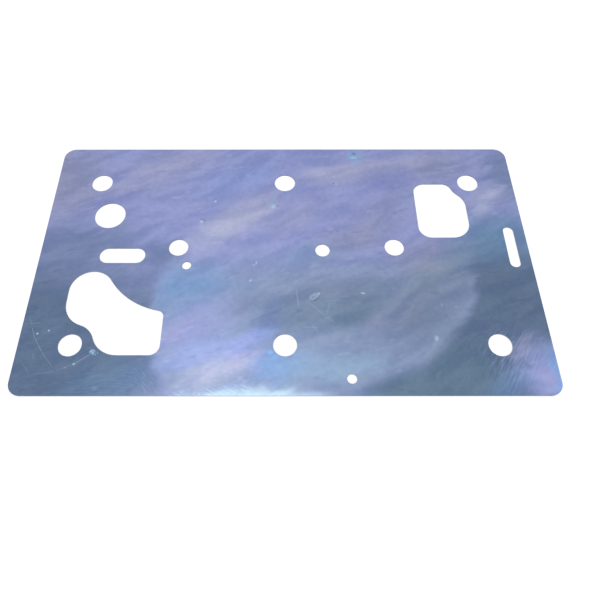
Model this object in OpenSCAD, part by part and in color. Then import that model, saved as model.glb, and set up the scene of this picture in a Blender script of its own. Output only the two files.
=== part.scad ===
// Compressor intermediate plate: one flat sheet of plated steel, punched through, in millimetres.
// X runs along the long side, Y towards the far edge, Z up through the sheet. The origin is the
// centre of the lower face.

/* [Plate] */
// Length of the sheet along X
plate_w = 200; // [160:1:260]
// Depth of the sheet along Y
plate_d = 116; // [100:1:150]
// Sheet thickness
plate_t = 0.5; // [0.3:0.1:2]
// Radius of the sheet's outer corners
corner_r = 5; // [1:0.5:10]

/* [Bolt holes] */
// Diameter of the six cylinder-head bolt holes
bolt_d = 9; // [6.6:0.1:11]
// Distance of the bolt holes from the sheet's edges
bolt_inset = 19.5; // [16:0.5:24]
// Radius of the land of metal kept round a bolt hole beside an opening
bolt_land_r = 8.5; // [6:0.5:11]

/* [Round holes] */
// Diameter of the round passage above the left slot
passage_d = 13; // [10:0.5:15]
// Passage centre, right of the left bolts
passage_right = 6.1; // [4:0.1:9]
// Passage centre, behind the middle of the sheet
passage_back = 21; // [17:0.5:25]
// Diameter of the two valve holes
valve_d = 8; // [6:0.5:10]
// Line of the two valve holes, behind the middle of the sheet
valve_back = 4.8; // [0:0.1:8]
// Left valve hole, right of the left bolts
valve_left_in = 36.7; // [30:0.1:44]
// Right valve hole, left of the right bolts
valve_right_in = 35.5; // [29:0.1:42]
// Diameter of the vent hole
vent_d = 6; // [4:0.5:8]
// Vent hole, right of the middle bolts
vent_right = 15.4; // [10:0.1:20]
// Vent hole, in front of the line of valve holes
vent_front = 1.4; // [0:0.1:4]
// Diameter of the two locating pin holes
pin_d = 3.7; // [3:0.1:5]
// Left pin hole, right of the left valve hole
pin_right = 4; // [2:0.1:6]
// Left pin hole, in front of the left valve hole
pin_front = 8.6; // [7:0.1:12]
// Front pin hole, right of the middle bolts
edge_pin_right = 24.3; // [20:0.1:30]
// Front pin hole, behind the front edge
edge_pin_back = 6.3; // [5:0.1:9]

/* [Slots] */
// Length of the left slot along X, over its round ends
left_slot_l = 18.7; // [12:0.1:23]
// Width of the left slot
left_slot_w = 7.1; // [4.2:0.1:9]
// Left slot centre, right of the left bolts
left_slot_right = 14.1; // [11:0.1:16]
// Web of metal between the left slot and the kidney opening's lobe
left_slot_web = 3.9; // [2.5:0.1:6]
// Length of the right slot along Y, over its round ends
right_slot_l = 19.6; // [15:0.1:24]
// Width of the right slot
right_slot_w = 4.4; // [4.2:0.1:6]
// Right slot centre, in from the right edge
right_slot_in = 6.6; // [5:0.1:9]
// Right slot centre, behind the middle of the sheet
right_slot_back = 5.1; // [0:0.1:8]

/* [Kidney opening] */
// Left side, left of the front left bolt
kidney_left = 4.8; // [3:0.1:7]
// Right side, right of the front left bolt
kidney_right = 33.7; // [27:0.1:40]
// Front side, in front of the front left bolt
kidney_front = 4.05; // [2:0.05:7]
// Radius of the upper lobe
kidney_lobe_r = 8.7; // [7:0.1:10.4]
// Centre of the upper lobe, behind the front left bolt
kidney_lobe_back = 23.25; // [19:0.25:28]
// Radius of the left bend above the bolt land
kidney_bend_r = 10.3; // [8:0.1:12.4]
// Radius of the front bend beside the bolt land
kidney_heel_r = 10.6; // [8:0.1:13]
// Radius of the front right corner
kidney_corner_r = 4; // [2:0.25:6]
// Radius of the back right tip
kidney_tip_r = 2.75; // [1.5:0.25:4]
// Centre of the back right tip, behind the front left bolt
kidney_tip_back = 11.75; // [9:0.25:15]
// Radius of the long inner arc
kidney_arc_r = 31.25; // [25:0.25:38]

/* [Port opening] */
// Left side, left of the back right bolt
port_left = 24.4; // [20:0.1:29]
// Right side, left of the back right bolt
port_right = 2.65; // [2:0.05:4]
// Front side, in front of the back right bolt
port_front = 28.9; // [23:0.1:34]
// Back side, in front of the back right bolt
port_back = 0.55; // [0.2:0.05:2]
// Radius of the back left corner
port_back_left_r = 4.9; // [3:0.1:6]
// Radius of the front left corner
port_front_left_r = 5.3; // [3:0.1:8]
// Radius of the front right corner
port_front_right_r = 7.8; // [4:0.1:9.5]
// Radius between the back side and the bolt land
port_horn_r = 3.8; // [2:0.1:5]
// Radius between the bolt land and the right side
port_shoulder_r = 7.6; // [4:0.1:9.5]

/* [Hidden] */
$fn = 96;
// Overlap that carries each cut past both faces
eps = 0.5;
// Overlap that closes the point where two round arcs touch
touch = 0.001;
// Bolt positions either side of the middle of the sheet
bolt_x = plate_w / 2 - bolt_inset;
bolt_y = plate_d / 2 - bolt_inset;
front_left = [-bolt_x, -bolt_y];
back_right = [bolt_x, bolt_y];
// Valve holes
valve_left = [valve_left_in - bolt_x, valve_back];
valve_right = [bolt_x - valve_right_in, valve_back];
// Kidney opening: its sides, then the centres of its arcs, each tangent to its neighbours
kx0 = front_left[0] - kidney_left;
kx1 = front_left[0] + kidney_right;
ky0 = front_left[1] - kidney_front;
heel_run = leg(bolt_land_r + kidney_heel_r, kidney_heel_r - kidney_front);
bend_rise = leg(bolt_land_r + kidney_bend_r, kidney_bend_r - kidney_left);
k_lobe = [kx0 + kidney_lobe_r, front_left[1] + kidney_lobe_back];
k_bend = [kx0 + kidney_bend_r, front_left[1] + bend_rise];
k_heel = [front_left[0] + heel_run, ky0 + kidney_heel_r];
k_corner = [kx1 - kidney_corner_r, ky0 + kidney_corner_r];
k_tip = [kx1 - kidney_tip_r, front_left[1] + kidney_tip_back];
k_arc = meet(k_lobe, kidney_arc_r + kidney_lobe_r, k_tip, kidney_arc_r + kidney_tip_r);
// Left slot, one web behind the kidney opening's lobe
left_slot_y = k_lobe[1] + kidney_lobe_r + left_slot_web + left_slot_w / 2;
// Port opening: its sides, then the centres of its corners
px0 = back_right[0] - port_left;
px1 = back_right[0] - port_right;
py0 = back_right[1] - port_front;
py1 = back_right[1] - port_back;
horn_run = leg(bolt_land_r + port_horn_r, port_back + port_horn_r);
shoulder_drop = leg(bolt_land_r + port_shoulder_r, port_right + port_shoulder_r);
p_back_left = [px0 + port_back_left_r, py1 - port_back_left_r];
p_front_left = [px0 + port_front_left_r, py0 + port_front_left_r];
p_front_right = [px1 - port_front_right_r, py0 + port_front_right_r];
p_horn = [back_right[0] - horn_run, py1 - port_horn_r];
p_shoulder = [px1 - port_shoulder_r, back_right[1] - shoulder_drop];

// Remaining side of a right triangle
function leg(long_side, side) = sqrt(long_side * long_side - side * side);

// Distance from a, along the line from a to b, of the foot of the triangle with sides ra and rb
function foot(a, ra, b, rb) = (ra * ra - rb * rb + norm(b - a) * norm(b - a)) / (2 * norm(b - a));

// Quarter turn anticlockwise
function turned(v) = [-v[1], v[0]];

// Point at distance ra from a and rb from b, to the left of the way from a to b
function meet(a, ra, b, rb) =
    let (u = (b - a) / norm(b - a))
    let (f = foot(a, ra, b, rb))
    a + f * u + leg(ra, f) * turned(u);

module disc(centre, r) {
    translate(centre) circle(r = r);
}

module slot(centre, l, w) {
    translate(centre) {
        square([l - w, w], center = true);
        disc([(l - w) / 2, 0], w / 2);
        disc([(w - l) / 2, 0], w / 2);
    }
}

module outline() {
    cx = plate_w / 2 - corner_r;
    cy = plate_d / 2 - corner_r;
    square([plate_w, 2 * cy], center = true);
    square([2 * cx, plate_d], center = true);
    for (sx = [-1, 1]) {
        for (sy = [-1, 1]) {
            disc([sx * cx, sy * cy], corner_r);
        }
    }
}

module bolt_holes() {
    for (x = [-bolt_x, 0, bolt_x]) {
        for (y = [-bolt_y, bolt_y]) {
            disc([x, y], bolt_d / 2);
        }
    }
}

module round_holes() {
    disc([passage_right - bolt_x, passage_back], passage_d / 2);
    disc(valve_left, valve_d / 2);
    disc(valve_right, valve_d / 2);
    disc([vent_right, valve_back - vent_front], vent_d / 2);
    disc(valve_left + [pin_right, -pin_front], pin_d / 2);
    disc([edge_pin_right, edge_pin_back - plate_d / 2], pin_d / 2);
}

module slots() {
    slot([left_slot_right - bolt_x, left_slot_y], left_slot_l, left_slot_w);
    translate([plate_w / 2 - right_slot_in, right_slot_back])
        rotate(90)
            slot([0, 0], right_slot_l, right_slot_w);
}

module kidney() {
    difference() {
        union() {
            polygon([
                k_lobe,
                [kx0, k_lobe[1]],
                [kx0, k_bend[1]],
                k_bend,
                front_left,
                k_heel,
                [k_heel[0], ky0],
                [k_corner[0], ky0],
                [kx1, k_corner[1]],
                [kx1, k_tip[1]],
                k_tip,
                k_arc
            ]);
            disc(k_lobe, kidney_lobe_r);
            disc(k_bend, kidney_bend_r);
            disc(k_heel, kidney_heel_r);
            disc(k_corner, kidney_corner_r);
            disc(k_tip, kidney_tip_r);
        }
        disc(front_left, bolt_land_r + touch);
        disc(k_arc, kidney_arc_r + touch);
    }
}

module port() {
    difference() {
        union() {
            polygon([
                [p_back_left[0], py1],
                [p_horn[0], py1],
                p_horn,
                back_right,
                p_shoulder,
                [px1, p_shoulder[1]],
                [px1, p_front_right[1]],
                [p_front_right[0], py0],
                [p_front_left[0], py0],
                [px0, p_front_left[1]],
                [px0, p_back_left[1]]
            ]);
            disc(p_back_left, port_back_left_r);
            disc(p_horn, port_horn_r);
            disc(p_shoulder, port_shoulder_r);
            disc(p_front_right, port_front_right_r);
            disc(p_front_left, port_front_left_r);
        }
        disc(back_right, bolt_land_r + touch);
    }
}

module intermediate_plate() {
    color([0.53, 0.59, 0.71])
        difference() {
            linear_extrude(height = plate_t) outline();
            translate([0, 0, -eps])
                linear_extrude(height = plate_t + 2 * eps) {
                    bolt_holes();
                    round_holes();
                    slots();
                    kidney();
                    port();
                }
        }
}

intermediate_plate();
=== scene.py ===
import math
import bpy
from mathutils import Color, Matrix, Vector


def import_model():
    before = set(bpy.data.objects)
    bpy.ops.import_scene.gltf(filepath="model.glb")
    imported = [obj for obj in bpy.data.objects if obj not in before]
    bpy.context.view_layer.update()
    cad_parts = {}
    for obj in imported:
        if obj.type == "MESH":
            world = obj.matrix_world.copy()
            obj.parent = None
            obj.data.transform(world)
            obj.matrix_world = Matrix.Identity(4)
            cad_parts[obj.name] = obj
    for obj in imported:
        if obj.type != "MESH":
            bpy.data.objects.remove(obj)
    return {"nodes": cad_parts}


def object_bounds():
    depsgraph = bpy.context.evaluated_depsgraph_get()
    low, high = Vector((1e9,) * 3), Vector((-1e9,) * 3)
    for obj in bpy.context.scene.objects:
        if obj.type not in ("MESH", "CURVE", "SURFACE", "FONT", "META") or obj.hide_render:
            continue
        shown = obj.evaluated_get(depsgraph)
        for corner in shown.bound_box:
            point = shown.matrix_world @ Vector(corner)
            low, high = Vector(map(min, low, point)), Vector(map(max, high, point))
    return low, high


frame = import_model()
cad_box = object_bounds()

MM = 0.001
THICKNESS = cad_box[1].z - cad_box[0].z

# The photograph's frame, in pixels, and its camera: distances in millimetres from the middle of
# the upper face, turns in degrees.
IMAGE = 600
FOCAL_PX = 522.91
CENTRE_PX = 284
CAMERA_AT = (-0.369, -113.089, 181.314)
CAMERA_TURN = (27.279, 0.0265, -0.0159)
# Width of the camera's sensor in millimetres, and its nearest sight in metres
SENSOR = 36.0
CLIP_START = 0.01

# The floor, in metres: its size, and its drop below the plate, so that the two faces don't coincide
FLOOR_SIZE = 6.0
FLOOR_DROP = 0.02 * MM
FLOOR_COLOUR = (0.8, 0.8, 0.8, 1)
# Glow that brings the floor up to the white behind it
FLOOR_GLOW = 0.53
# The white world: its colour, and its strength where it is seen and as a light
SKY_COLOUR = (1, 1, 1, 1)
SKY_SEEN = 1.0
SKY_LIGHT = 0.6
# Lamps, aimed at the middle of the plate: name, place and size in metres, watts
LAMPS = [
    ("key", (-0.12, 0.24, 0.95), 0.3, 0.5),
    ("fill", (0.6, -0.9, 0.8), 0.9, 3),
]

# Tints of the plating's bloom, of what has marked it and of the painted highlights, reflection and
# shade, as they show on screen, 0 to FULL_LEVEL
FULL_LEVEL = 255
TINTS = {
    "gloom": (76, 94, 126),
    "slate": (94, 113, 142),
    "moss": (98, 121, 145),
    "steel": (108, 124, 162),
    "sage": (111, 129, 156),
    "olive": (128, 142, 161),
    "haze": (129, 145, 178),
    "mint": (138, 164, 194),
    "teal": (98, 134, 167),
    "sky": (114, 147, 191),
    "azure": (118, 172, 230),
    "blue": (131, 149, 204),
    "lilac": (140, 149, 197),
    "violet": (127, 136, 190),
    "mauve": (138, 143, 176),
    "plum": (116, 127, 158),
    "rose": (152, 156, 192),
    "pink": (158, 158, 204),
    "beige": (172, 177, 206),
    "pearl": (150, 163, 216),
    "glare": (188, 216, 236),
    "fleck": (188, 208, 232),
    "film": (128, 170, 208),
    "pit": (96, 112, 160),
    "scuff": (142, 164, 190),
    "shear": (140, 148, 178),
    "tear": (104, 110, 134),
}

# The colour sockets of a Mix node, which has a set of sockets for each kind of data
MIX_INPUTS = (0, 6, 7)
MIX_OUTPUT = 2
# Depth of a streak in millimetres, so great that streaks run straight through the sheet
STREAK_DEPTH = 1000
# Shares of a scratch's half length and half width at which it begins to fade
SCRATCH_END = 0.8
SCRATCH_SIDE = 0.1


def tint(name):
    """A tint as Blender's linear colour."""
    shown = Color([level / FULL_LEVEL for level in TINTS[name]])
    return (*shown.from_srgb_to_scene_linear(), 1.0)


class Nodes:
    """Short calls for building one node tree."""

    def __init__(self, tree):
        self.tree = tree
        tree.nodes.clear()

    def add(self, kind, **settings):
        node = self.tree.nodes.new(kind)
        for key, value in settings.items():
            setattr(node, key, value)
        return node

    def put(self, socket, value):
        """Link an output to a socket, or set a constant on it."""
        if isinstance(value, bpy.types.NodeSocket):
            self.tree.links.new(value, socket)
        else:
            socket.default_value = value

    def surface(self, kind, shader):
        """End the tree with an output for a shader."""
        self.put(self.add(kind).inputs["Surface"], shader.outputs[0])

    def math(self, operation, *values):
        node = self.add("ShaderNodeMath", operation=operation)
        for socket, value in zip(node.inputs, values):
            self.put(socket, value)
        return node.outputs[0]

    def vector(self, operation, first, second):
        node = self.add("ShaderNodeVectorMath", operation=operation)
        self.put(node.inputs[0], first)
        self.put(node.inputs["Scale" if operation == "SCALE" else 1], second)
        return node.outputs["Value" if operation == "DOT_PRODUCT" else 0]

    def combine(self, *parts):
        node = self.add("ShaderNodeCombineXYZ")
        for socket, part in zip(node.inputs, parts):
            self.put(socket, part)
        return node.outputs[0]

    def upright(self, vector):
        """A vector's Z."""
        node = self.add("ShaderNodeSeparateXYZ")
        self.put(node.inputs[0], vector)
        return node.outputs["Z"]

    def ramp(self, value, low, high, to_low=0.0, to_high=1.0):
        """Smooth step of a value from low to high."""
        node = self.add("ShaderNodeMapRange", interpolation_type="SMOOTHSTEP")
        for socket, setting in zip(node.inputs, (value, low, high, to_low, to_high)):
            self.put(socket, setting)
        return node.outputs[0]

    def mix(self, factor, first, second, blend="MIX"):
        node = self.add("ShaderNodeMix", data_type="RGBA", blend_type=blend)
        for index, value in zip(MIX_INPUTS, (factor, first, second)):
            self.put(node.inputs[index], value)
        return node.outputs[MIX_OUTPUT]

    def shade(self, colour, factor):
        """A colour made lighter or darker."""
        node = self.add("ShaderNodeHueSaturation")
        self.put(node.inputs["Color"], colour)
        self.put(node.inputs["Value"], factor)
        return node.outputs[0]

    def noise(self, vector, scale, detail, rough):
        node = self.add("ShaderNodeTexNoise")
        self.put(node.inputs["Vector"], vector)
        node.inputs["Scale"].default_value = scale
        node.inputs["Detail"].default_value = detail
        node.inputs["Roughness"].default_value = rough
        return node.outputs["Fac"]

    def streaks(self, vector, turn, along, across, detail, rough, shift):
        """Noise drawn out along a direction: its grain's length and width in millimetres."""
        node = self.add("ShaderNodeMapping", vector_type="TEXTURE")
        self.put(node.inputs["Vector"], vector)
        node.inputs["Location"].default_value = (shift, shift, 0)
        node.inputs["Rotation"].default_value = (0, 0, math.radians(turn))
        node.inputs["Scale"].default_value = (along, across, STREAK_DEPTH)
        return self.noise(node.outputs[0], 1.0, detail, rough)

    def axes(self, vector, x, y, rx, ry, turn):
        """How far along and across an ellipse a place lies, 1 at its ends."""
        cosine = math.cos(math.radians(turn))
        sine = math.sin(math.radians(turn))
        out = []
        for unit_x, unit_y in ((cosine / rx, sine / rx), (-sine / ry, cosine / ry)):
            dot = self.vector("DOT_PRODUCT", vector, (unit_x, unit_y, 0))
            out.append(self.math("SUBTRACT", dot, x * unit_x + y * unit_y))
        return out

    def radius(self, vector, x, y, rx, ry, turn):
        """Distance from an ellipse's middle, 1 on its line."""
        along, across = self.axes(vector, x, y, rx, ry, turn)
        square = self.math("MULTIPLY_ADD", along, along, self.math("MULTIPLY", across, across))
        return self.math("SQRT", square)

    def patch(self, vector, x, y, rx, ry, turn, core, strength):
        """Full in the middle of an ellipse, falling softly to 0 at its edge."""
        return self.ramp(self.radius(vector, x, y, rx, ry, turn), core, 1.0, strength, 0.0)

    def line(self, vector, x0, y0, x1, y1, width, strength):
        """Full along a straight scratch, fading at its ends and sides."""
        half = math.hypot(x1 - x0, y1 - y0) / 2
        turn = math.degrees(math.atan2(y1 - y0, x1 - x0))
        along, across = self.axes(vector, (x0 + x1) / 2, (y0 + y1) / 2, half, width / 2, turn)
        along = self.ramp(self.math("ABSOLUTE", along), SCRATCH_END, 1.0, 1.0, 0.0)
        across = self.ramp(self.math("ABSOLUTE", across), SCRATCH_SIDE, 1.0, strength, 0.0)
        return self.math("MULTIPLY", along, across)

    def ring(self, vector, x, y, rx, ry, turn, width, strength):
        """Full along an ellipse's line."""
        off = self.math("SUBTRACT", self.radius(vector, x, y, rx, ry, turn), 1.0)
        return self.ramp(self.math("ABSOLUTE", off), 0.0, width, strength, 0.0)


# Bloom on the plating together with a painted reflection, painted shade and painted highlights, laid
# one patch over the other on lilac: middle, half length, half width and turn of each soft ellipse in
# millimetres and degrees, how much of it is full, its tint and its strength. First the far half, with
# its long beige streaks.
FAR = [
    (-98, 40, 30, 36, 0, 0.1, "mauve", 0.85),
    (-68, 38, 36, 14, 15, 0.1, "rose", 0.65),
    (-74, 30, 14, 5, 10, 0.1, "violet", 0.7),
    (-74, 42, 10, 6, 20, 0.1, "violet", 0.6),
    (-50, 50, 28, 11, 15, 0.1, "rose", 0.8),
    (-2, 55, 36, 14, 8, 0.1, "violet", 0.3),
    (-20, 40, 28, 12, 16, 0.1, "blue", 0.6),
    (4, 20, 24, 10, 30, 0.1, "rose", 0.6),
    (-16, 23, 26, 12, 40, 0.1, "rose", 0.8),
    (-25, 15, 34, 10, 36, 0.1, "beige", 0.7),
    (32, 46, 38, 9, 14, 0.1, "rose", 0.9),
    (18, 44, 20, 5, 18, 0.1, "beige", 0.5),
    (66, 48, 30, 14, 10, 0.1, "mauve", 0.7),
    (58, 52, 26, 6, 14, 0.1, "rose", 0.6),
    (98, 44, 14, 26, 0, 0.1, "steel", 0.8),
    (86, 28, 16, 10, 52, 0.1, "beige", 0.6),
    (48, 40, 16, 8, 25, 0.1, "violet", 0.6),
    (42, 24, 26, 11, 30, 0.1, "mauve", 0.4),
    (28, 10, 32, 11, 20, 0.1, "mauve", 0.7),
    (60, 0, 30, 14, 10, 0.1, "mauve", 0.8),
    (8, 1, 24, 9, 15, 0.1, "sky", 0.4),
    (-84, 8, 40, 16, 0, 0.1, "steel", 0.7),
    (-50, 1, 14, 10, 0, 0.1, "steel", 0.8),
]
# A painted reflection: the paler round area of the near half, as two ellipses: middle, half sizes and
# turn
ROUND_REFLECTION = [(28, -5, 49, 46, 0), (-8, -26, 47, 46, 0)]
# How far in from its line its edge begins to fall, and how far out it ends
ROUND_FROM = 0.93
ROUND_TO = 1.04
# What lies inside the round area: the painted reflection's pale haze, then bloom tints over it
INNER_REFLECTION_AND_BLOOM = [
    (12, -34, 120, 44, 0, 0.45, "haze", 1.0),
    (16, -23, 48, 15, 16, 0.2, "sage", 0.9),
    (-33, -27, 28, 14, 14, 0.2, "lilac", 0.7),
    (-16, -22, 16, 6, 20, 0.1, "plum", 0.6),
    (22, -15, 18, 5, 20, 0.1, "mauve", 0.4),
    (26, -27, 20, 7, 20, 0.1, "moss", 0.6),
    (4, -20, 14, 4, 22, 0.1, "slate", 0.4),
    (58, -23, 26, 14, 42, 0.1, "sage", 0.7),
    (62, -8, 24, 12, 24, 0.1, "olive", 0.65),
    (48, -25, 26, 11, 28, 0.1, "plum", 0.6),
    (34, -29, 10, 5, 20, 0.1, "mauve", 0.5),
    (-6, -28, 14, 9, 60, 0.1, "steel", 0.8),
    (-46, -15, 16, 16, 0, 0.1, "sky", 0.4),
    (-36, -12, 22, 12, 10, 0.1, "sky", 0.7),
    (-40, -33, 20, 7, 20, 0.1, "pink", 0.5),
    (-13, -37, 15, 7, 25, 0.1, "blue", 0.7),
    (-32, -41, 28, 9, 16, 0.1, "pearl", 0.7),
    (-16, -44, 7, 11, -8, 0.1, "pink", 0.6),
    (-3, -48, 20, 9, 5, 0.1, "azure", 0.35),
    (20, -47, 30, 9, 8, 0.1, "mint", 0.7),
    (-26, -49, 18, 8, 20, 0.1, "beige", 0.8),
    (76, 3, 15, 17, 0, 0.1, "teal", 0.6),
    (78, -8, 16, 22, 0, 0.1, "sage", 0.7),
]
# What lies outside it: painted shade, as dark slate and moss fields at the left and lower right, with
# teal bloom tints
OUTER_SHADE_AND_BLOOM = [
    (-90, -40, 80, 58, 0, 0.3, "slate", 1.0),
    (-64, -54, 24, 12, 0, 0.1, "teal", 0.35),
    (90, 6, 30, 21, 0, 0.3, "teal", 0.75),
    (92, -34, 62, 48, 0, 0.55, "slate", 1.0),
    (54, -57, 44, 19, 12, 0.4, "moss", 1.0),
    (85, 8, 14, 14, 0, 0.1, "teal", 0.35),
]
# Painted highlights over both: glare along the front edge, on top of the key lamp's real highlight
# there, and a pale sheen with bloom tints at the near right corner
NEAR_HIGHLIGHTS_AND_BLOOM = [
    (-18, -60, 44, 7, 0, 0.1, "glare", 0.5),
    (-16, -60, 40, 4.5, 0, 0.1, "glare", 1.0),
    (98, -50, 21, 20, -35, 0.1, "pearl", 1.0),
    (96, -50, 7, 9, -30, 0.1, "pink", 0.5),
    (88, -40, 10, 5, 48, 0.1, "rose", 0.6),
    (80, -55, 14, 7, 30, 0.1, "sky", 0.5),
    (101, -50, 5, 16, 0, 0.1, "azure", 0.5),
]
# Areas of fine brushed hairs, a real grain whose light and dark lines are painted glints and painted
# shade around the highlights: the area as a patch, then the hairs' direction, length and width, the
# tint they take and their strength.
HAIRS_WITH_GLINTS = [
    ((86, -46, 16, 18, -20, 0.3), 57, 6.0, 0.7, "pearl", 0.45),
    ((80, -42, 20, 22, -20, 0.2), 57, 5.5, 0.6, "gloom", 0.5),
    ((96, -49, 13, 14, 0, 0.1), 47, 5.0, 0.5, "beige", 0.4),
    ((-93, -32, 14, 14, 0, 0.2), 3, 6.0, 0.6, "haze", 0.2),
    ((-66, -53, 24, 9, 0, 0.2), -6, 7.0, 0.45, "haze", 0.4),
    ((-50, -54, 9, 6, 0, 0.2), -38, 3.6, 0.5, "pearl", 0.4),
    ((-26, -58, 26, 4, 0, 0.3), -38, 3.6, 0.6, "glare", 0.6),
    ((-46, -55, 10, 4, 0, 0.2), -36, 4.0, 0.4, "steel", 0.35),
    ((40, -15, 22, 10, 24, 0.2), 22, 6.0, 1.4, "haze", 0.35),
]
# Small marks, as patches, and one painted shadow beside a mark
MARKS = [
    (-5.2, 28.4, 2.2, 5.2, -6, 0.1, "mint", 0.6),
    (-5.0, 25.6, 1.6, 1.9, 0, 0.1, "fleck", 0.5),
    (-3.2, 26.0, 1.0, 0.9, 0, 0.1, "pit", 0.4),
    (-35.0, 19.0, 1.5, 0.7, 0, 0.1, "pit", 0.45),
    (-33.9, 18.2, 0.7, 0.9, 0, 0.1, "pit", 0.5),
    (-35.3, 17.7, 1.1, 1.0, 0, 0.1, "fleck", 0.7),
    (-30, 28.4, 0.7, 0.7, 0, 0.2, "fleck", 0.75),
    (-16.3, 42.4, 0.6, 0.6, 0, 0.2, "fleck", 0.5),
    (22.5, 37.9, 0.6, 1.1, 0, 0.1, "fleck", 0.5),
    (21.4, 38.2, 0.6, 0.6, 0, 0.1, "pit", 0.7),
    (-13.8, -10.8, 1.2, 0.7, 30, 0.1, "fleck", 0.5),
    (-11.6, -2.7, 0.7, 1.3, -15, 0.1, "fleck", 0.4),
    (-12.6, -3.7, 1.2, 0.6, 15, 0.1, "fleck", 0.3),
    (-12.7, -2.5, 0.8, 0.6, 0, 0.1, "pit", 0.25),
    (30.6, -16.6, 1.4, 0.6, -10, 0.1, "fleck", 0.6),
    (57.0, -35.9, 1.2, 1.9, -15, 0.1, "fleck", 0.55),
    (55.8, -38.2, 1.2, 2.6, -25, 0.1, "scuff", 0.5),
    (66.3, -22.6, 1.0, 0.8, 0, 0.1, "scuff", 0.6),
    (60.8, -21.6, 0.7, 1.3, 0, 0.1, "scuff", 0.5),
    (-93.6, -33.8, 0.6, 0.6, 0, 0.2, "fleck", 0.8),
    (-89.5, -32.6, 0.6, 0.6, 0, 0.2, "fleck", 0.7),
    (59.5, 42.8, 1.0, 2.2, 0, 0.1, "rose", 0.8),
    (-45.6, -26.4, 1.8, 0.8, -10, 0.1, "film", 0.5),
    (-5.6, -41.4, 1.4, 1.3, 0, 0.1, "azure", 0.8),
    (-3.4, -43.2, 2.8, 1.6, 30, 0.1, "azure", 0.4),
    (-71.4, -41.4, 1.7, 1.5, 0, 0.2, "film", 0.55),
    (-72.2, -40.9, 1.1, 0.5, 50, 0.2, "fleck", 0.6),
    (-71.2, -40.6, 0.9, 0.4, -20, 0.2, "fleck", 0.5),
    (-71.4, -41.6, 0.5, 0.9, 15, 0.2, "fleck", 0.55),
    (-70.4, -42.3, 0.8, 0.4, -35, 0.2, "film", 0.65),
    (-69.6, -41.6, 0.4, 0.8, 20, 0.2, "film", 0.5),
    (-77.6, -46.0, 0.8, 0.6, 20, 0.2, "fleck", 0.7),
    (-80.6, -47.4, 0.8, 0.45, 20, 0.2, "scuff", 0.6),
    # Painted shadow: the dark slate patch beside the pale leaf-shaped mark that follows
    (12.1, -19.3, 2.4, 1.0, 35, 0.1, "slate", 0.7),
    (11.4, -18.0, 2.2, 1.2, 35, 0.5, "scuff", 0.7),
    (11.0, -18.3, 1.2, 0.6, 35, 0.2, "sage", 0.7),
    (13.3, -16.7, 0.9, 0.5, 40, 0.1, "fleck", 0.6),
    (-68.6, -55.2, 1.6, 1.3, 0, 0.3, "haze", 0.45),
    (31.2, 54.4, 4.2, 3.8, 0, 0.5, "film", 0.5),
    (28.5, 54.8, 0.9, 2.2, -10, 0.2, "mint", 0.7),
    (34.0, 54.8, 0.9, 2.2, 10, 0.2, "mint", 0.6),
    (31.4, 50.4, 3.4, 3.2, 10, 0.1, "film", 0.4),
    (34.4, 53.2, 1.1, 1.6, 40, 0.1, "film", 0.5),
    (31.4, 55.4, 1.5, 1.2, 0, 0.2, "steel", 0.8),
    (31.0, 53.0, 2.6, 1.0, 0, 0.2, "fleck", 0.4),
]
# Rings: middle, half sizes, turn, line width as a share of the size, tint and strength
RINGS = [
    (11.4, -18.0, 1.9, 1.0, 35, 0.4, "fleck", 0.2),
]
# Scratches, in the scuff tint: start, end, width and strength
SCRATCHES = [
    ((4.4, -14.4), (5.3, -23.0), 0.6, 0.6),
    ((8.1, -19.4), (13.6, -24.9), 0.7, 0.4),
    ((13.2, -24.4), (18.5, -29.0), 0.6, 0.4),
    ((15.2, -27.8), (17.4, -26.6), 0.9, 0.35),
    ((15.6, -20.1), (21.3, -19.5), 0.6, 0.4),
    ((17.5, -20.5), (15.8, -26.5), 0.7, 0.4),
    ((6.5, -31.0), (13.0, -31.4), 0.8, 0.4),
    ((10.0, -30.0), (12.6, -33.6), 0.7, 0.4),
    ((-96.2, -31.2), (-94.0, -36.0), 0.4, 0.6),
    ((-94.2, -35.6), (-90.4, -41.2), 0.4, 0.6),
    ((-90.6, -40.9), (-85.2, -47.4), 0.35, 0.45),
    ((-98.0, -27.2), (-96.2, -30.4), 0.4, 0.4),
    ((-97.4, -29.6), (-93.4, -29.4), 0.5, 0.35),
    ((-93.6, -42.0), (-92.6, -44.2), 0.4, 0.45),
    ((-72.2, -42.2), (-77.6, -46.0), 0.45, 0.8),
    ((-77.6, -46.0), (-84.0, -48.6), 0.4, 0.35),
    ((-84.0, -48.8), (-92.0, -50.0), 0.5, 0.3),
    ((-96.2, -46.2), (-93.4, -49.6), 0.4, 0.35),
]
# Noise within the hairs: detail, roughness, the shift from one area to the next, and the values
# between which a hair appears.
HAIR_DETAIL = 2.0
HAIR_ROUGH = 0.5
HAIR_SHIFT = 13.0
HAIR_RANGE = (0.48, 0.7)

# Direction in which the clouds are drawn out, in degrees
GRAIN = 27
# Layers of even noise: waves per millimetre, detail and roughness
WANDER = (0.025, 1.0, 0.5)
REGIONS = (0.06, 2.0, 0.5)
MOTTLE = (0.5, 2.0, 0.5)
EDGE_LINES = (1.0, 2.0, 0.5)
# Layers of streaks: direction, length and width in millimetres, detail, roughness and shift
DRIFTS = (GRAIN, 16.0, 4.6, 1.0, 0.4, 0.0)
CLOUDS = (GRAIN - 3, 17.0, 5.4, 1.0, 0.4, 9.0)
STROKES = (GRAIN - 8, 5.4, 1.9, 1.0, 0.3, 31.0)
FINE = (GRAIN - 12, 1.4, 0.8, 1.0, 0.5, 57.0)
# The middle of the noise's values
NOISE_MIDDLE = 0.5

# How far places wander, in millimetres, and the shift between the noise along X and along Y
FIRM_REACH = 8.0
SWIRL_REACH = 14.0
AXES_APART = 300
# How far loose patches drift along the grain, in millimetres, and the share of it that edges drift
DRIFT_REACH = 20.0
EDGE_SHARE = 0.45

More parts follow.
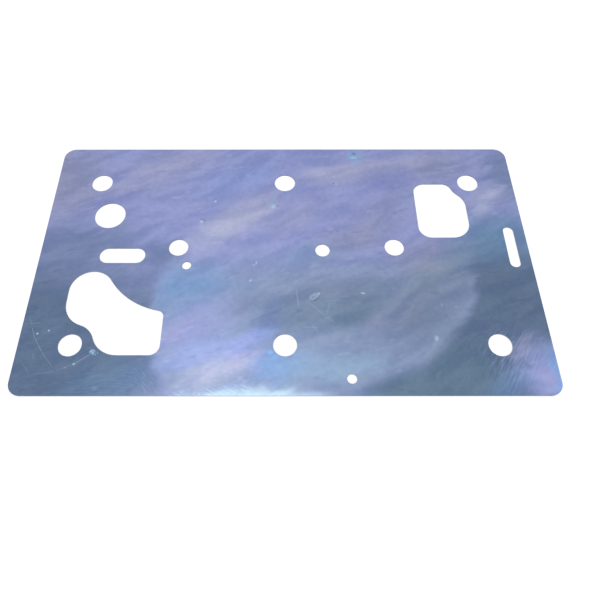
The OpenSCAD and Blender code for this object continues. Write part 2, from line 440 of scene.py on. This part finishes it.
# Noise values between which the clouds change, and their colour factors
CLOUD_RANGE = (0.3, 0.7)
CLOUD_BLUE = (0.90, 0.92, 0.95, 1)
CLOUD_BEIGE = (1.12, 1.10, 1.06, 1)
# The same for the lighter and darker strokes, each kept to some regions
LIGHT_STROKE = (0.54, 0.74)
LIGHT_REGION = (0.42, 0.6)
LIGHT_COLOUR = (1.13, 1.10, 1.05, 1)
DARK_STROKE = (0.46, 0.26)
DARK_REGION = (0.58, 0.4)
DARK_COLOUR = (0.90, 0.92, 0.96, 1)
# Noise values and factors of lightness of the fine grain and the mottle
FINE_RANGE = (0.28, 0.72)
FINE_TONE = (0.985, 1.015)
MOTTLE_RANGE = (0.3, 0.7)
MOTTLE_TONE = (0.965, 1.035)

# Sheared edges: the values of the normal's Z between which edge turns to face, the shares of the
# thickness between which torn metal turns to shorn metal, and the upright lines' waves per
# millimetre along each axis, noise values and factors of lightness.
WALL_RANGE = (0.4, 0.6)
TEAR_SHARES = (0.36, 0.68)
LINE_WAVES = (3.0, 3.0, 0.3)
LINE_RANGE = (0.3, 0.7)
LINE_TONE = (0.85, 1.15)

# The metal's finish: roughness from the clouds and the fine grain, more of it on sheared edges, and
# a relief with its depth in metres.
METALLIC = 0.9
ROUGH_RANGE = (0.25, 0.75)
CLOUD_ROUGH = (0.34, 0.42)
FINE_ROUGH = (-0.03, 0.03)
WALL_ROUGH = 0.12
RELIEF_STRENGTH = 0.2
RELIEF_DEPTH = 0.03 * MM


def lay(nodes, at, colour, patches):
    """Patches over a colour, one after the other."""
    for x, y, rx, ry, turn, core, name, strength in patches:
        mask = nodes.patch(at, x, y, rx, ry, turn, core, strength)
        colour = nodes.mix(mask, colour, tint(name))
    return colour


def bloom_and_painted_light(nodes, edge, loose):
    """The broad fields: the far half's bloom, the round area's painted reflection inside and painted
    shade outside, then the near edge's painted highlights.
    """
    far = lay(nodes, loose, tint("lilac"), FAR)
    outer = lay(nodes, loose, far, OUTER_SHADE_AND_BLOOM)
    inner = lay(nodes, loose, far, INNER_REFLECTION_AND_BLOOM)
    # Mask of the painted reflection: 0 inside the round area, 1 outside it
    reflection_radius = nodes.math("MINIMUM", *(nodes.radius(edge, *ellipse) for ellipse in ROUND_REFLECTION))
    colour = nodes.mix(nodes.ramp(reflection_radius, ROUND_FROM, ROUND_TO), inner, outer)
    return lay(nodes, edge, colour, NEAR_HIGHLIGHTS_AND_BLOOM)


def hairs_with_glints(nodes, at, colour):
    # Brushed hairs drawn as painted glints and painted shade in their tints
    for index, (area, turn, along, across, name, strength) in enumerate(HAIRS_WITH_GLINTS):
        shift = HAIR_SHIFT * index
        grain = nodes.streaks(at, turn, along, across, HAIR_DETAIL, HAIR_ROUGH, shift)
        hair = nodes.ramp(grain, *HAIR_RANGE)
        mask = nodes.math("MULTIPLY", hair, nodes.patch(at, *area, strength))
        colour = nodes.mix(mask, colour, tint(name))
    return colour


def marks(nodes, at, colour):
    colour = lay(nodes, at, colour, MARKS)
    for x, y, rx, ry, turn, width, name, strength in RINGS:
        mask = nodes.ring(at, x, y, rx, ry, turn, width, strength)
        colour = nodes.mix(mask, colour, tint(name))
    for start, end, width, strength in SCRATCHES:
        mask = nodes.line(at, *start, *end, width, strength)
        colour = nodes.mix(mask, colour, tint("scuff"))
    return colour


def places(nodes, at):
    """Places that wander a little: in a swirl, and for edges and loose patches along the grain too."""
    strays = []
    for shift in (0, AXES_APART):
        shifted = nodes.vector("ADD", at, (shift, 0, 0))
        strays.append(nodes.math("SUBTRACT", nodes.noise(shifted, *WANDER), NOISE_MIDDLE))
    wander = nodes.combine(*strays)
    firm = nodes.vector("ADD", at, nodes.vector("SCALE", wander, FIRM_REACH))
    swirl = nodes.vector("ADD", at, nodes.vector("SCALE", wander, SWIRL_REACH))
    drawn = nodes.math("SUBTRACT", nodes.streaks(swirl, *DRIFTS), NOISE_MIDDLE)
    along_grain = (math.cos(math.radians(GRAIN)), math.sin(math.radians(GRAIN)), 0)
    drift = nodes.vector("SCALE", along_grain, nodes.math("MULTIPLY", drawn, DRIFT_REACH))
    loose = nodes.vector("ADD", firm, drift)
    edge = nodes.vector("ADD", firm, nodes.vector("SCALE", drift, EDGE_SHARE))
    return swirl, edge, loose


def hues(nodes, cloud, stroke, region):
    """Colour factors: clouds from blue to beige, with lighter and darker strokes in some regions."""
    hue = nodes.mix(nodes.ramp(cloud, *CLOUD_RANGE), CLOUD_BLUE, CLOUD_BEIGE)
    light = nodes.math("MULTIPLY", nodes.ramp(stroke, *LIGHT_STROKE), nodes.ramp(region, *LIGHT_REGION))
    dark = nodes.math("MULTIPLY", nodes.ramp(stroke, *DARK_STROKE), nodes.ramp(region, *DARK_REGION))
    hue = nodes.mix(light, hue, LIGHT_COLOUR)
    return nodes.mix(dark, hue, DARK_COLOUR)


def tones(nodes, fine, mottle):
    """Factors of lightness from the fine grain and the mottle."""
    tone = nodes.ramp(fine, *FINE_RANGE, *FINE_TONE)
    return nodes.math("MULTIPLY", tone, nodes.ramp(mottle, *MOTTLE_RANGE, *MOTTLE_TONE))


def sheared(nodes, at):
    """The sheared edges' colour: bright above, dull below, with fine upright lines."""
    lines = nodes.noise(nodes.vector("MULTIPLY", at, LINE_WAVES), *EDGE_LINES)
    heights = [share * THICKNESS / MM for share in TEAR_SHARES]
    metal = nodes.mix(nodes.ramp(nodes.upright(at), *heights), tint("tear"), tint("shear"))
    return nodes.shade(metal, nodes.ramp(lines, *LINE_RANGE, *LINE_TONE))


def satin(nodes, colour, wall, cloud, stroke, fine):
    """The shader: metal that is rougher on sheared edges, with strokes and grain in slight relief."""
    shader = nodes.add("ShaderNodeBsdfPrincipled")
    nodes.put(shader.inputs["Base Color"], colour)
    shader.inputs["Metallic"].default_value = METALLIC
    cloud_rough = nodes.ramp(cloud, *ROUGH_RANGE, *CLOUD_ROUGH)
    fine_rough = nodes.ramp(fine, *ROUGH_RANGE, *FINE_ROUGH)
    face_rough = nodes.math("ADD", cloud_rough, fine_rough)
    rough = nodes.math("ADD", face_rough, nodes.math("MULTIPLY", wall, WALL_ROUGH))
    nodes.put(shader.inputs["Roughness"], rough)
    relief = nodes.add("ShaderNodeBump")
    relief.inputs["Strength"].default_value = RELIEF_STRENGTH
    relief.inputs["Distance"].default_value = RELIEF_DEPTH
    nodes.put(relief.inputs["Height"], nodes.math("ADD", fine, stroke))
    nodes.put(shader.inputs["Normal"], relief.outputs[0])
    return shader


def new_material(name):
    """A material and its empty node tree."""
    material = bpy.data.materials.new(name)
    material.use_nodes = True
    return material, Nodes(material.node_tree)


def plating():
    material, nodes = new_material("zinc_plating")
    place = nodes.add("ShaderNodeTexCoord").outputs["Object"]
    at = nodes.vector("SCALE", place, 1 / MM)
    swirl, edge, loose = places(nodes, at)
    colour = bloom_and_painted_light(nodes, edge, loose)

    # Clouds, strokes and grain over the bloom and painted light, then brushed hairs with painted
    # glints, then what has marked it
    cloud = nodes.streaks(swirl, *CLOUDS)
    stroke = nodes.streaks(swirl, *STROKES)
    region = nodes.noise(at, *REGIONS)
    fine = nodes.streaks(swirl, *FINE)
    mottle = nodes.noise(at, *MOTTLE)
    hue = hues(nodes, cloud, stroke, region)
    tone = tones(nodes, fine, mottle)
    colour = nodes.mix(1.0, nodes.shade(colour, tone), hue, "MULTIPLY")
    colour = hairs_with_glints(nodes, swirl, colour)
    colour = marks(nodes, at, colour)

    facing = nodes.upright(nodes.add("ShaderNodeNewGeometry").outputs["Normal"])
    wall = nodes.ramp(nodes.math("ABSOLUTE", facing), *WALL_RANGE, 1.0, 0.0)
    colour = nodes.mix(wall, colour, sheared(nodes, at))
    nodes.surface("ShaderNodeOutputMaterial", satin(nodes, colour, wall, cloud, stroke, fine))
    return material


def seen(nodes):
    """1 for rays that come from the camera or from a mirrored or clear surface, else 0."""
    rays = nodes.add("ShaderNodeLightPath").outputs
    bounced = nodes.math("MAXIMUM", rays["Is Glossy Ray"], rays["Is Transmission Ray"])
    return nodes.math("MAXIMUM", rays["Is Camera Ray"], bounced)


def floor():
    bpy.ops.mesh.primitive_plane_add(size=FLOOR_SIZE, location=(0, 0, -FLOOR_DROP))
    plane = bpy.context.object
    plane.name = "floor"
    material, nodes = new_material("floor")
    matt = nodes.add("ShaderNodeBsdfDiffuse")
    matt.inputs["Color"].default_value = FLOOR_COLOUR
    glow = nodes.add("ShaderNodeEmission")
    nodes.put(glow.inputs["Strength"], nodes.math("MULTIPLY", seen(nodes), FLOOR_GLOW))
    both = nodes.add("ShaderNodeAddShader")
    nodes.put(both.inputs[0], matt.outputs[0])
    nodes.put(both.inputs[1], glow.outputs[0])
    nodes.surface("ShaderNodeOutputMaterial", both)
    plane.data.materials.append(material)


def world():
    scene = bpy.context.scene
    scene.world = bpy.data.worlds.new("studio")
    scene.world.use_nodes = True
    nodes = Nodes(scene.world.node_tree)
    sky = nodes.add("ShaderNodeBackground")
    sky.inputs["Color"].default_value = SKY_COLOUR
    nodes.put(sky.inputs["Strength"], nodes.ramp(seen(nodes), 0.0, 1.0, SKY_LIGHT, SKY_SEEN))
    nodes.surface("ShaderNodeOutputWorld", sky)


def lamp(name, at, size, watts):
    light = bpy.data.lights.new(name, "AREA")
    light.size = size
    light.energy = watts
    holder = bpy.data.objects.new(name, light)
    holder.location = at
    bpy.context.collection.objects.link(holder)
    holder.rotation_euler = (-holder.location).to_track_quat("-Z", "Y").to_euler()


def camera():
    data = bpy.data.cameras.new("camera")
    data.sensor_width = SENSOR
    data.lens = FOCAL_PX * SENSOR / IMAGE
    data.shift_x = (IMAGE / 2 - CENTRE_PX) / IMAGE
    data.clip_start = CLIP_START
    holder = bpy.data.objects.new("camera", data)
    x, y, z = CAMERA_AT
    holder.location = (x * MM, y * MM, z * MM + THICKNESS)
    holder.rotation_euler = [math.radians(turn) for turn in CAMERA_TURN]
    bpy.context.collection.objects.link(holder)
    bpy.context.scene.camera = holder


bpy.context.scene.view_settings.view_transform = "Standard"
camera()
world()
floor()
for settings in LAMPS:
    lamp(*settings)

plate = frame["nodes"]["intermediate_plate"]
plate.data.materials.clear()
plate.data.materials.append(plating())
